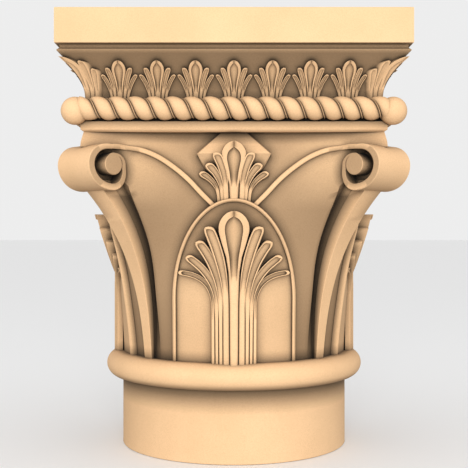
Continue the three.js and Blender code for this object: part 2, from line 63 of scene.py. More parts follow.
# Heights, downwards from the slab and upwards from the underside
SLAB_HEIGHT = 41.0
COVE_HEIGHT = 8.0
FRIEZE_HEIGHT = 48.5
ROPE_RADIUS = 13.9
ROPE_SHELF = 2.0
BAND_HEIGHT = 9.7
BAND_CHAMFER = 3.5
NECK_HEIGHT = 90.0
RING_TUBE = 16.5
SLAB_Z = TOP_Z - SLAB_HEIGHT
FILLET_Z = SLAB_Z - COVE_HEIGHT
ROPE_TOP = FILLET_Z - FRIEZE_HEIGHT
ROPE_Z = ROPE_TOP - ROPE_SHELF - ROPE_RADIUS
BAND_TOP = ROPE_Z - ROPE_RADIUS
BAND_Z = BAND_TOP - BAND_HEIGHT - BAND_CHAMFER
RING_Z = NECK_HEIGHT + RING_TUBE
BELL_Z = NECK_HEIGHT + 2 * RING_TUBE

# Reaches from the axis
NECK_RADIUS = 150.0
RING_RADIUS = 155.0
BAND_HALF = 179.8
FRIEZE_HALF = 171.3
ROPE_LINE = 187.0
SLAB_HALF = 205.7
FILLET_HALF = 203.5
COVE_DEPTH = 3.4

# Bell levels: height share, reach at a face's middle and at a corner, squareness, sharpness of the corner
BELL_LEVELS = np.array([
    (-0.06, 144, 144, 0, 2),
    (0.03, 145, 145, 0, 2),
    (0.27, 148.5, 155.6, 0, 2),
    (0.49, 153, 171, 0, 2),
    (0.65, 158, 195, 0.5, 4),
    (0.76, 161.5, 218, 1, 5),
    (0.85, 163, 230.5, 1, 4),
    (0.91, 162, 243, 1, 3),
    (0.94, 160.5, 254.6, 1, 2.4),
    (1.01, 157, 249, 1, 2.2),
])
BELL_ROWS = 48
BELL_STEPS = 32
RING_STEPS = 22
ROUND_STEPS = 144

# Volutes
VOLUTE_THICKNESS = 62.6
VOLUTE_WEB = 22.6
VOLUTE_MID = 238.1
VOLUTE_HALF_LENGTH = 26.8
VOLUTE_TOP = BAND_Z - 14.0
VOLUTE_HALF_HEIGHT = 27.0
VOLUTE_Z = VOLUTE_TOP - VOLUTE_HALF_HEIGHT
VOLUTE_FOOT = VOLUTE_Z - VOLUTE_HALF_HEIGHT
EYE_REACH = VOLUTE_MID - 9.1
EYE_Z = VOLUTE_Z + 3.5
EYE_RADIUS = 12.4

# Arch plate
ARCH_HALF = 75.0
SPRING_Z = RING_Z + 92.0
ARCH_RISE = 122.0
ARCH_TOP = SPRING_Z + ARCH_RISE
PLATE_RELIEF = 4.5
RIM_WIDTH = 4.4
RIM_RELIEF = 4.2

# Palmettes
PALM_TIP = RING_Z + 198.3
SMALL_PALM_TIP = ARCH_TOP + 66.0

# Straps: values at the foot and where they meet the volute's foot
STRAP_FOOT_RELIEF = 0.5
STRAP_TOP_INSET = 4.8
STRAP_HALVES = (6.5, 16.5)
STRAP_FIRST_STEPS = (2.5, 19.5)
STRAP_SECOND_STEPS = (4, 17)
STRAP_OVERLAP = 12.2
STRAP_STEP_INSET = 2.5
STRAP_ROOT = 18
GROOVE_OVERLAP = 21
GROOVE_MARGIN = 8.4
GROOVE_REACH = 262

# Rope, corner balls and frieze
ROPE_STRANDS = 17
ROPE_LEAN = 14.5
ROPE_END_THINNING = 2.2
BALL_RADIUS = 16.4
BALL_INSET = 1.8
BALL_DROP = 2.7
FRIEZE_LEAVES = 7
FRIEZE_PITCH = 44.7

# Painted shade: what it takes from the stone's colour at its darkest, and how light some shaded places are
# painted
NECK_PAINTED_SHADOW = 0.62
NECK_PAINTED_SHADOW_FOOT = 56
GROUND_PAINTED_SHADE = 0.52
FRIEZE_PAINTED_SHADE = 0.62
VOLUTE_PAINTED_SHADE_LEVEL = 0.62
STRAP_SIDE_PAINTED_SHADE_LEVEL = 0.36
COVE_PAINTED_SHADE_LEVEL = 0.55
PLATE_PAINTED_SHADE_LEVEL = 0.84
PLATE_PAINTED_SHADE_TOP = 0.34

# Camera: level, in front of the axis; the focal length belongs to a picture of this width
CAMERA_DISTANCE = 1.2552
CAMERA_HEIGHT = 0.278
FOCAL_PIXELS = 919
PICTURE_PIXELS = 468
SENSOR_WIDTH = 36

SQRT2 = math.sqrt(2)


def smooth(t):
    t = np.clip(t, 0, 1)
    return t * t * (3 - 2 * t)


def share(value, low, high):
    return np.clip((value - low) / (high - low), 0, 1)


def between(pair, t):
    return pair[0] + (pair[1] - pair[0]) * t


def bezier(a, b, c, t):
    """Points of a curve from a to c that is pulled towards b."""
    a, b, c = (np.array(p, float) for p in (a, b, c))
    t = np.asarray(t, float)[:, None]
    return (1 - t) ** 2 * a + 2 * t * (1 - t) * b + t ** 2 * c


def smooth_line(keys, values, at):
    """A smooth curve through values, without overshoot to speak of."""
    slopes = np.gradient(values, keys)
    i = np.clip(np.searchsorted(keys, at, side="right") - 1, 0, len(keys) - 2)
    span = keys[i + 1] - keys[i]
    f = (at - keys[i]) / span
    return (values[i] * (1 + 2 * f) * (1 - f) ** 2 + values[i + 1] * f * f * (3 - 2 * f)
            + slopes[i] * span * f * (1 - f) ** 2 + slopes[i + 1] * span * f * f * (f - 1))


def on_face(u, w, z):
    return (u, -w, z)


def on_diagonal(reach, side, z):
    return ((side - reach) / SQRT2, -(side + reach) / SQRT2, z)


# Meshes: each shape is a closed body of points and faces
def closed_mesh(name, points, faces):
    mesh = bpy.data.meshes.new(name)
    mesh.from_pydata([tuple(float(c) * MM for c in p) for p in points], [], faces)
    work = bmesh.new()
    work.from_mesh(mesh)
    bmesh.ops.recalc_face_normals(work, faces=work.faces)
    if work.calc_volume(signed=True) < 0:
        bmesh.ops.reverse_faces(work, faces=work.faces)
    work.to_mesh(mesh)
    work.free()
    return mesh


def loft(name, rings):
    """A closed body through rings of points, closed flat at both ends."""
    count = len(rings[0])
    points = [p for ring in rings for p in ring]
    faces = [tuple(reversed(range(count)))]
    for i in range(len(rings) - 1):
        for j in range(count):
            a = i * count + j
            b = i * count + (j + 1) % count
            faces.append((a, b, b + count, a + count))
    last = (len(rings) - 1) * count
    faces.append(tuple(range(last, last + count)))
    return closed_mesh(name, points, faces)


def mirrored(mesh):
    """The same body with left and right changed over."""
    copy = mesh.copy()
    for vertex in copy.vertices:
        vertex.co.x = -vertex.co.x
    copy.flip_normals()
    return copy


def turned(mesh, quarter):
    """The same body on another face."""
    copy = mesh.copy()
    cos, sin = ((1, 0), (0, 1), (-1, 0), (0, -1))[quarter]
    for vertex in copy.vertices:
        x, y = vertex.co.x, vertex.co.y
        vertex.co.x = cos * x - sin * y
        vertex.co.y = sin * x + cos * y
    return copy


def merged(name, meshes, operation="UNION"):
    """One closed body: the first mesh with the others joined to it or cut from it."""
    body = bpy.data.objects.new(name, meshes[0])
    bpy.context.scene.collection.objects.link(body)
    tools = []
    for mesh in meshes[1:]:
        tool = bpy.data.objects.new(name + "_tool", mesh)
        bpy.context.scene.collection.objects.link(tool)
        tools.append(tool)
        change = body.modifiers.new("join", "BOOLEAN")
        change.operation = operation
        change.solver = "MANIFOLD"
        change.object = tool
    graph = bpy.context.evaluated_depsgraph_get()
    result = bpy.data.meshes.new_from_object(body.evaluated_get(graph))
    for tool in [*tools, body]:
        bpy.data.objects.remove(tool)
    return result


# Square mouldings
def frieze_half(z):
    """Half width of the hollow face behind the leaves."""
    return FRIEZE_HALF + (FILLET_HALF - FRIEZE_HALF) * share(z, ROPE_TOP, FILLET_Z) ** 1.9


def entablature():
    profile = [(BAND_HALF - 3.8, BAND_Z + 1), (BAND_HALF - 0.2, BAND_Z + BAND_CHAMFER - 0.3),
               (BAND_HALF, BAND_Z + BAND_CHAMFER), (BAND_HALF, BAND_TOP - 0.4), (BAND_HALF - 0.4, BAND_TOP),
               (FRIEZE_HALF, BAND_TOP)]
    profile += [(float(frieze_half(z)), z) for z in np.linspace(ROPE_TOP, FILLET_Z, 18)]
    for angle in np.linspace(0.15, math.pi * 0.8, 9):
        height = FILLET_Z + COVE_HEIGHT * (0.1 + angle / math.pi)
        profile.append((FILLET_HALF - COVE_DEPTH * math.sin(angle), height))
    profile += [(SLAB_HALF - 1.2, SLAB_Z), (SLAB_HALF - 0.5, SLAB_Z + 0.1), (SLAB_HALF, SLAB_Z + 0.6),
                (SLAB_HALF, TOP_Z - 0.7), (SLAB_HALF - 0.7, TOP_Z)]
    corners = ((-1, -1), (1, -1), (1, 1), (-1, 1))
    return loft("entablature", [[(x * half, y * half, z) for x, y in corners] for half, z in profile])


def neck_and_ring():
    profile = [(NECK_RADIUS - 0.6, 0), (NECK_RADIUS, 0.6)]
    profile += [(NECK_RADIUS, z) for z in (60, 68, 76, 83, NECK_HEIGHT - 0.5)]
    for angle in np.linspace(-math.pi / 2, math.pi / 2, RING_STEPS):
        profile.append((RING_RADIUS + RING_TUBE * math.cos(angle), RING_Z + RING_TUBE * math.sin(angle)))
    angles = np.linspace(0, 2 * math.pi, ROUND_STEPS, endpoint=False)
    return loft("neck", [[(r * math.cos(a), r * math.sin(a), z) for a in angles] for r, z in profile])


# Bell
def bell_level(z):
    """Middle, corner, squareness and sharpness of the bell at a height, smoothly between its levels."""
    t = (z - BELL_Z) / (BAND_Z - BELL_Z)
    heights = BELL_LEVELS[:, 0]
    values = BELL_LEVELS[:, 1:]
    slopes = np.gradient(values, heights, axis=0)
    i = int(np.clip(np.searchsorted(heights, t) - 1, 0, len(heights) - 2))
    span = heights[i + 1] - heights[i]
    f = np.clip((t - heights[i]) / span, 0, 1)
    rise = values[i + 1] - values[i]
    low = np.where(rise * slopes[i] < 0, 0, np.clip(slopes[i] * span, -3 * abs(rise), 3 * abs(rise)))
    high = np.where(rise * slopes[i + 1] < 0, 0, np.clip(slopes[i + 1] * span, -3 * abs(rise), 3 * abs(rise)))
    return (values[i] * (1 + 2 * f) * (1 - f) ** 2 + values[i + 1] * f * f * (3 - 2 * f)
            + low * f * (1 - f) ** 2 + high * f * f * (f - 1))


def bell_plan(z):
    """One face of the bell's outline at a height, from corner to corner."""
    mid, corner, squareness, power = bell_level(z)
    s = np.linspace(-1, 1, BELL_STEPS + 1)
    angle = s * math.pi / 4
    radius = mid + (corner - mid) * s * s
    half = corner / SQRT2
    square_w = mid + (half - mid) * abs(s) ** power
    u = (1 - squareness) * radius * np.sin(angle) + squareness * s * half
    w = (1 - squareness) * radius * np.cos(angle) + squareness * square_w
    return u, w


PLANS = {}


def bell_w(u, z, offset=0.0):
    """How far the bell's face stands out at a place on a face."""
    key = round(float(z), 1)
    if key not in PLANS:
        PLANS[key] = bell_plan(key)
    across, out = PLANS[key]
    return float(np.interp(u, across, out)) + offset


def bell():
    rings = []
    heights = np.linspace(BELL_Z - 14, BAND_Z + 2, BELL_ROWS)
    for z in heights:
        u, w = bell_plan(z)
        ring = []
        for face in range(4):
            cos = math.cos(face * math.pi / 2)
            sin = math.sin(face * math.pi / 2)
            for a, b in zip(u[:-1], w[:-1]):
                x, y, height = on_face(a, b, z)
                ring.append((x * cos - y * sin, x * sin + y * cos, height))
        rings.append(ring)
    return loft("bell", rings)


# Straps and their grooves
def strap_at(z):
    """Reach, half width and the two steps of a strap at a height."""
    t = (z - RING_Z) / (VOLUTE_FOOT - RING_Z)
    low = NECK_RADIUS + STRAP_FOOT_RELIEF
    reach = low + (VOLUTE_MID - STRAP_TOP_INSET - low) * (0.217 * t + 0.783 * t ** 3)
    half = between(STRAP_HALVES, t ** 1.6)
    return reach, half, between(STRAP_FIRST_STEPS, t), between(STRAP_SECOND_STEPS, t ** 1.2)


def strap():
    rings = []
    for z in np.linspace(RING_Z, VOLUTE_FOOT + STRAP_OVERLAP, 40):
        reach, half, first, second = strap_at(z)
        inner = half - STRAP_STEP_INSET
        root = reach - first - second - STRAP_ROOT
        right = [(reach, half - 0.5), (reach - 0.5, half), (reach - first, half), (reach - first, inner),
                 (root, inner)]
        left = [(r, -n) for r, n in reversed(right)]
        rings.append([on_diagonal(r, n, z) for r, n in right + left])
    return loft("strap", rings)


def strap_groove():
    rings = []
    top = VOLUTE_FOOT + GROOVE_OVERLAP
    for z in np.linspace(RING_Z, top, 36):
        reach, half, first, second = strap_at(z)
        floor = reach - first - second
        side = half + GROOVE_MARGIN - 4 * float(share(z, VOLUTE_FOOT - 10, top)) ** 1.5
        section = ((floor, -side), (floor, side), (GROOVE_REACH, side), (GROOVE_REACH, -side))
        rings.append([on_diagonal(r, n, z) for r, n in section])
    return loft("groove", rings)


# Volutes
def spiral_edge(turn):
    """Distance of the coil's outer edge from the eye's centre, for turns from the top, outwards first."""
    keys = (0, 0.25, 0.5, 0.75, 1.0, 1.12)
    above = VOLUTE_TOP - EYE_Z
    outside = VOLUTE_MID + VOLUTE_HALF_LENGTH - EYE_REACH
    below = EYE_Z - VOLUTE_FOOT
    radii = (above, outside, below, 17.8, 13.4, EYE_RADIUS)
    i = min(int(np.searchsorted(keys, turn, side="right")) - 1, len(keys) - 2)
    f = (turn - keys[i]) / (keys[i + 1] - keys[i])
    return radii[i] + (radii[i + 1] - radii[i]) * float(smooth(f))


def coil_point(turn, radius):
    angle = 2 * math.pi * turn
    return EYE_REACH + radius * math.sin(angle), EYE_Z + radius * math.cos(angle)


def volute():
    side = VOLUTE_THICKNESS / 2
    ease = 0.8
    band = []
    for turn in np.linspace(0, 1.1, 110):
        outer = spiral_edge(turn)
        inner = outer - float(np.interp(turn, (0, 0.2, 0.55, 0.8, 1.0, 1.12), (5.5, 8.6, 7.4, 4.4, 3.6, 3)))
        section = [(outer, -side + ease), (outer, side - ease), (outer - ease, side), (inner + ease, side),
                   (inner, side - ease), (inner, -side + ease), (inner + ease, -side), (outer - ease, -side)]
        ring = []
        for radius, n in section:
            reach, z = coil_point(turn, radius)
            ring.append(on_diagonal(reach, n, z))
        band.append(ring)
    shapes = [loft("coil", band)]
    web = VOLUTE_WEB / 2
    outline = [coil_point(turn, spiral_edge(turn) - 2.5) for turn in np.linspace(0, 0.93, 60)]
    shapes.append(loft("web", [[on_diagonal(r, n, z) for r, z in outline] for n in (-web, web)]))
    circle = [coil_point(turn, 1.0) for turn in np.linspace(0, 1, 48, endpoint=False)]
    rings = []
    ends = ((-side, EYE_RADIUS - ease), (-side + ease, EYE_RADIUS), (side - ease, EYE_RADIUS),
            (side, EYE_RADIUS - ease))
    for n, radius in ends:
        rings.append([on_diagonal(EYE_REACH + (r - EYE_REACH) * radius, n, EYE_Z + (z - EYE_Z) * radius)
                      for r, z in circle])
    shapes.append(loft("eye", rings))
    return shapes


# Arch plate
def arch_point(inset, f):
    """A point of the arch outline; f runs 0 to 1 from the left foot over the top to the right foot."""
    foot = 0.3
    half = ARCH_HALF - inset
    if f < foot:
        return -half, RING_Z + (SPRING_Z - RING_Z) * f / foot
    if f > 1 - foot:
        return half, RING_Z + (SPRING_Z - RING_Z) * (1 - f) / foot
    angle = math.pi * (1 - (f - foot) / (1 - 2 * foot))
    return half * math.cos(angle), SPRING_Z + (ARCH_RISE - inset) * math.sin(angle)


def arch_plate():
    rows = 44
    columns = 20
    front = []
    back = []
    for i in range(rows + 1):
        t = i / rows
        z = RING_Z + (ARCH_TOP - RING_Z) * (1 - (1 - t) ** 1.6)
        rise = share(z, SPRING_Z, ARCH_TOP)
        half = (ARCH_HALF - 1) * math.sqrt(max(1 - float(rise) ** 2, 0.0004))
        line = [half * (2 * j / columns - 1) for j in range(columns + 1)]
        front.append([on_face(u, bell_w(u, z, PLATE_RELIEF), z) for u in line])
        back.append([on_face(u, bell_w(u, z, -8), z) for u in reversed(line)])
    shapes = [loft("plate", [f + b for f, b in zip(front, back)])]
    section = ((0, -4), (0, 2.4), (0.7, 3.5), (RIM_WIDTH / 2, RIM_RELIEF), (RIM_WIDTH - 0.7, 3.5),
               (RIM_WIDTH, 2.4), (RIM_WIDTH, -4))
    rings = []
    for f in np.linspace(0, 1, 110):
        ring = []
        for inset, relief in section:
            u, z = arch_point(inset, f)
            ring.append(on_face(u, bell_w(u, z, PLATE_RELIEF + relief), z))
        rings.append(ring)
    shapes.append(loft("rim", rings))
    return shapes


# Carved lobes
def rounded(left, length):
    """How far a form has closed towards its tip: 1 before the last length, then a round end down to 0."""
    return math.sqrt(max(1 - (1 - left / length) ** 2, 0)) if left < length else 1.0


def lobe(place, curve, foot, widths, relief, back, rim=0.3, tip_rim=3.0, hollow=2.0, ridge=0.0,
         open_from=0.45, curl=0.45, draft=1.0, steps=26, hand=1):
    """A leaf's lobe along a bent line: a flat rim round a sunk hollow, with a ridge up the middle.

    curve holds the start, the pull and the tip as (u, z); foot is where a straight stem starts, or None.
    widths holds (share of the length, half width). relief gives the face's height at a share of the length.
    curl moves the tip towards the lobe's outer side. place turns (u, z, relief) into a point, and hand -1
    mirrors the lobe.
    """
    points = bezier(*curve, 1 - (1 - np.linspace(0, 1, steps)) ** 1.5)
    if foot:
        stem = [np.array(foot) + (points[0] - np.array(foot)) * k / 4 for k in range(4)]
        points = np.array([*stem, *points])
    run = np.concatenate([[0], np.cumsum(np.linalg.norm(np.diff(points, axis=0), axis=1))])
    shares, halves = zip(*widths)
    rings = []
    for i, (u, z) in enumerate(points):
        t = run[i] / run[-1]
        left = run[-1] - run[i]
        along = points[min(i + 1, len(points) - 1)] - points[max(i - 1, 0)]
        along = along / np.linalg.norm(along)
        across = np.array([along[1], -along[0]])
        full = float(np.interp(t, shares, halves))
        closing = max(rounded(left, 1.2 * full), 0.05)
        half = full * closing
        middle = curl * full * (1 - closing)
        inner_full = full * (1 - rim)
        inner_closing = rounded(max(left - tip_rim, 0), 1.4 * inner_full)
        inner = max(inner_full * inner_closing, 0.05 * half)
        out = half - inner
        inner_middle = middle + float(np.clip(curl * inner_full * (1 - inner_closing), -out, out))
        opened = float(smooth(share(t, open_from, open_from + 0.25)))
        depth = hollow * opened * min(inner_closing * 2, 1)
        top = relief(t)
        crown = 0.5 * half * (1 - opened)
        wall = min(0.6, 0.3 * inner)
        edge = [(-draft, back), (0, top - 0.8 - crown), (0.2 * out, top - 0.15 - 0.5 * crown),
                (0.75 * out, top - 0.15 * crown)]
        sunk = top - depth
        raised = ridge * opened
        floor = [(-inner, top - 0.1 * crown), (-inner + wall, sunk), (-0.5 * inner, sunk + 0.25 * raised),
                 (0, sunk + raised)]
        section = [(middle - half + d, r) for d, r in edge]
        section += [(inner_middle + n, r) for n, r in floor]
        section += [(inner_middle - n, r) for n, r in reversed(floor[:-1])]
        section += [(middle + half - d, r) for d, r in reversed(edge)]
        rings.append([place(hand * (u + n * across[0]), z + n * across[1], r) for n, r in section])
    return loft("lobe", rings)


def on_cylinder(u, z, radius):
    return on_face(u, math.sqrt(max(radius * radius - u * u, 1.0)), z)


def rise(low, high, power, start=0):
    """A face that stays low up to a share of the length, then leans out."""
    return lambda t: low + (high - low) * float(share(t, start, 1)) ** power


def large_palmette():
    foot = RING_Z + 8
    back = NECK_RADIUS + 1
    shapes = []
    sides = (
        ((9.4, 190), (10.5, 243), (31.2, PALM_TIP - 17.8), 160.6, 182, 0.45, 0.63,
         ((0, 3.9), (0.45, 3.8), (0.6, 4.4), (0.76, 6.2), (0.9, 6.7), (1, 6.3))),
        ((15.9, 192), (16.5, 239), (43.6, PALM_TIP - 35), 159.6, 175, 0.45, 0.67,
         ((0, 2.1), (0.42, 2.4), (0.58, 3.8), (0.74, 5.6), (0.9, 6.0), (1, 5.5))),
        ((20.7, 194), (21.5, 230), (57.0, PALM_TIP - 53.4), 158.8, 168.5, 0.35, 0.7,
         ((0, 1.8), (0.42, 2.1), (0.58, 3.4), (0.74, 4.8), (0.9, 5.0), (1, 4.6))),
        ((25.2, 196), (28, 230), (67.2, PALM_TIP - 73.2), 158.0, 163, 0.1, 0.72,
         ((0, 1.8), (0.42, 2.0), (0.6, 2.5), (0.76, 3.2), (0.9, 3.4), (1, 3.0))),
    )
    for start, pull, tip, low, high, curl, bend, widths in sides:
        for hand in (1, -1):
            shapes.append(lobe(on_cylinder, (start, pull, tip), (start[0] - 0.4, foot), widths,
                               rise(low, high, 0.9, bend), back, rim=0.3, tip_rim=3.2, hollow=2.6, curl=curl,
                               hand=hand))
    centre = ((0, 4.9), (0.42, 5.4), (0.62, 6.8), (0.72, 9.5), (0.8, 14.2), (0.87, 17.8), (0.93, 18.3),
              (1, 17))
    shapes.append(lobe(on_cylinder, ((0, 190), (0, 250), (0, PALM_TIP)), (0, foot), centre,
                       rise(162.6, 187, 0.85, 0.6), back, rim=0.4, tip_rim=7.0, hollow=4.2, ridge=3.4,
                       open_from=0.5, curl=0, steps=40))
    return shapes


def small_palmette():
    foot = ARCH_TOP - 4
    back = 157.0
    shapes = []
    sides = (
        ((9.5, foot + 8), (10, foot + 40), (22.4, SMALL_PALM_TIP - 13.0), 166.5, 183,
         ((0, 3.2), (0.35, 3.5), (0.6, 4.7), (0.85, 5.4), (1, 5))),
        ((14, foot + 7), (14.5, foot + 32), (32.4, SMALL_PALM_TIP - 26), 165.5, 180,
         ((0, 2.4), (0.35, 2.7), (0.6, 3.9), (0.85, 4.8), (1, 4.4))),
        ((18.5, foot + 6), (19.5, foot + 25), (40.6, SMALL_PALM_TIP - 36), 164.5, 177,
         ((0, 2.0), (0.35, 2.3), (0.6, 3.2), (0.85, 3.9), (1, 3.5))),
    )
    for start, pull, tip, low, high, widths in sides:
        for hand in (1, -1):
            shapes.append(lobe(on_cylinder, (start, pull, tip), (start[0] - 0.5, foot), widths,
                               rise(low, high, 1.5), back, rim=0.3, tip_rim=2.6, hollow=2.2, open_from=0.25,
                               draft=3.0, steps=20, hand=hand))
    centre = ((0, 5.2), (0.3, 6.2), (0.5, 9.4), (0.68, 13.8), (0.82, 14.8), (1, 13.8))
    shapes.append(lobe(on_cylinder, ((0, foot + 8), (0, foot + 36), (0, SMALL_PALM_TIP)), (0, foot), centre,
                       rise(167.5, 186, 1.5), back, rim=0.42, tip_rim=8.0, hollow=3.6, ridge=3.0,
                       open_from=0.2, curl=0, draft=4.0, steps=28))
    return shapes


def boss():
    crease = BAND_Z - 24.4
    foot = BAND_Z - 50
    face = bell_w(0, crease)

    def section(half, w, z):
        back = face - 12
        ease = 1.5
        outline = ((-half, back), (half, back), (half, w - ease), (half - ease, w), (-half + ease, w),
                   (-half, w - ease))
        return [on_face(u, out, z) for u, out in outline]

    return loft("boss", [
        section(16.8, face + 2, BAND_Z + 1),
        section(43.6, face + 15, crease),
        section(31, face - 2, foot),
    ])


def rib():
    side = VOLUTE_THICKNESS / 2
    keys = [(-24.0, 311.5), (-36.7, 324.2), (-54.8, 343.3), (-72.9, 358.3), (-91.0, 369.9), (-109.1, 377.0)]
    line = [(u, bell_w(u, z, 5.5), z) for u, z in keys]
    for reach, z in ((212, VOLUTE_TOP - 3.0), (224, VOLUTE_TOP - 2.4), (EYE_REACH + 2, VOLUTE_TOP - 2.6)):
        line.append(((side - reach) / SQRT2, (side + reach) / SQRT2 - 0.2, z))
    line = np.array(line)
    run = np.concatenate([[0], np.cumsum(np.linalg.norm(np.diff(line, axis=0), axis=1))])
    fine = np.linspace(0, run[-1], 44)
    path = np.stack([smooth_line(run, line[:, k], fine) for k in range(3)], axis=1)
    rings = []
    for i, (u, w, z) in enumerate(path):
        before = path[max(i - 1, 0)]
        after = path[min(i + 1, len(path) - 1)]
        along = np.array([after[0] - before[0], after[2] - before[2]])
        along = along / np.linalg.norm(along)
        across = np.array([along[1], -along[0]])
        half = 2.8
        root = -17 - 14 * i / len(path)
        section = ((-half, root), (-half, -0.8), (-half + 0.8, 0), (half - 0.8, 0), (half, -0.8),
                   (half, root))
        rings.append([on_face(u + n * across[0], w + d, z + n * across[1]) for n, d in section])
    shape = loft("rib", rings)
    return [shape, mirrored(shape)]


# Rope
def rope():
    """Leaning strands with a fine bead in each groove, from ball to ball."""
    end = ROPE_LINE - BALL_INSET
    pitch = 2 * end / ROPE_STRANDS
    profile = ((0.0, 2.0), (0.03, 2.3), (0.07, 4.2), (0.14, 2.4), (0.27, 0.7), (0.45, 0.0), (0.63, 0.3),
               (0.8, 1.5), (0.9, 2.8), (0.96, 4.2))
    root = BAND_HALF - 13
    rings = []
    for strand in range(ROPE_STRANDS + 1):
        for phase, dip in profile:
            if strand == ROPE_STRANDS and phase > 0:
                break
            middle = -end + (strand + phase) * pitch
            left = end - abs(middle)
            lean = ROPE_LEAN * min(left / 16.0, 1)
            radius = ROPE_RADIUS - dip - ROPE_END_THINNING * (1 - min(left / 9, 1))
            ring = []
            for t in np.linspace(0, 1, 13):
                angle = math.pi * (0.5 - t)
                along = middle + lean * (1.55 * t - 0.55 * t * t - 0.5)
                ring.append((along, ROPE_LINE + radius * math.cos(angle), ROPE_Z + radius * math.sin(angle)))
            ring.append((ring[-1][0], root, ROPE_Z - 8))
            ring.append((ring[0][0], root, ROPE_Z + 8))
            rings.append([on_face(*p) for p in ring])
    return loft("rope", rings)


def ball():
    middle = BALL_INSET - ROPE_LINE
    rings = []
    for angle in np.linspace(0.04, math.pi - 0.04, 18):
        radius = BALL_RADIUS * math.sin(angle)
        height = ROPE_Z - BALL_DROP + BALL_RADIUS * math.cos(angle)
        rings.append([(middle + radius * math.cos(a), middle + radius * math.sin(a), height)
                      for a in np.linspace(0, 2 * math.pi, 30, endpoint=False)])
    return loft("ball", rings)


# Frieze
def frieze_palmette(middle):
    foot = ROPE_TOP - 4

    def place(u, z, relief):
        return on_face(middle + u, float(frieze_half(z)) + relief, z)

    shapes = []
    sides = (
        ((9.3, foot), (10.4, foot + 18), (20.6, foot + 28), 3.2,
         ((0, 1.5), (0.5, 2.3), (0.8, 2.4), (1, 2.0))),
        ((5.4, foot), (6.2, foot + 21), (14.2, foot + 35), 4.4,
         ((0, 1.8), (0.5, 2.7), (0.8, 3.1), (1, 2.7))),
    )
    for start, pull, tip, top, widths in sides:
        for hand in (1, -1):
            shapes.append(lobe(place, (start, pull, tip), None, widths, rise(3.0, top + 0.6, 1.5), -3,
                               rim=0.34, tip_rim=1.6, hollow=1.5, open_from=0.2, draft=0.5, steps=11,
                               hand=hand))
    centre = ((0, 3.3), (0.3, 3.7), (0.5, 5.2), (0.68, 7.6), (0.8, 8.2), (1, 7.8))
    shapes.append(lobe(place, ((0, foot), (0, foot + 20), (0, foot + 42)), None, centre,
                       rise(3.8, 6.4, 1.5), -3, rim=0.36, tip_rim=3.4, hollow=2.4, ridge=1.8, open_from=0.15,
                       curl=0, draft=0.6, steps=15))
    return shapes


def corner_leaf():
    foot = ROPE_TOP - 4

    def place(a, z, relief):
        """a is the distance from the arris, to the right on the front and to the left on the side."""
        half = float(frieze_half(z))
        bend = math.sqrt(a * a + 9) - 3
        return on_diagonal(half * SQRT2 - bend / SQRT2 + relief, a / SQRT2, z)

    shapes = []
    sides = (
        ((13.4, foot), (14, foot + 20), (26.5, foot + 34), 4.5, ((0, 1.8), (0.5, 2.8), (0.8, 3.4), (1, 3.0))),
        ((8.2, foot), (9, foot + 26), (20, foot + 42), 5.5, ((0, 2.0), (0.5, 3.3), (0.8, 4.1), (1, 3.6))),
    )
    for start, pull, tip, top, widths in sides:
        for hand in (1, -1):
            shapes.append(lobe(place, (start, pull, tip), None, widths, rise(3.4, top + 0.9, 1.5), -3,
                               rim=0.32, tip_rim=2.0, hollow=1.8, open_from=0.2, draft=0.6, steps=12,
                               hand=hand))
    centre = ((0, 5.5), (0.4, 6.5), (0.6, 9.5), (0.8, 14), (0.9, 15.5), (1, 14.5))
    shapes.append(lobe(place, ((0, foot), (0, foot + 24), (0, foot + 46)), None, centre,
                       rise(4.6, 6, 1), -5, rim=0.36, tip_rim=4.5, hollow=2.8, ridge=2.2, open_from=0.2,
                       curl=0, draft=0.8, steps=20))
    return shapes


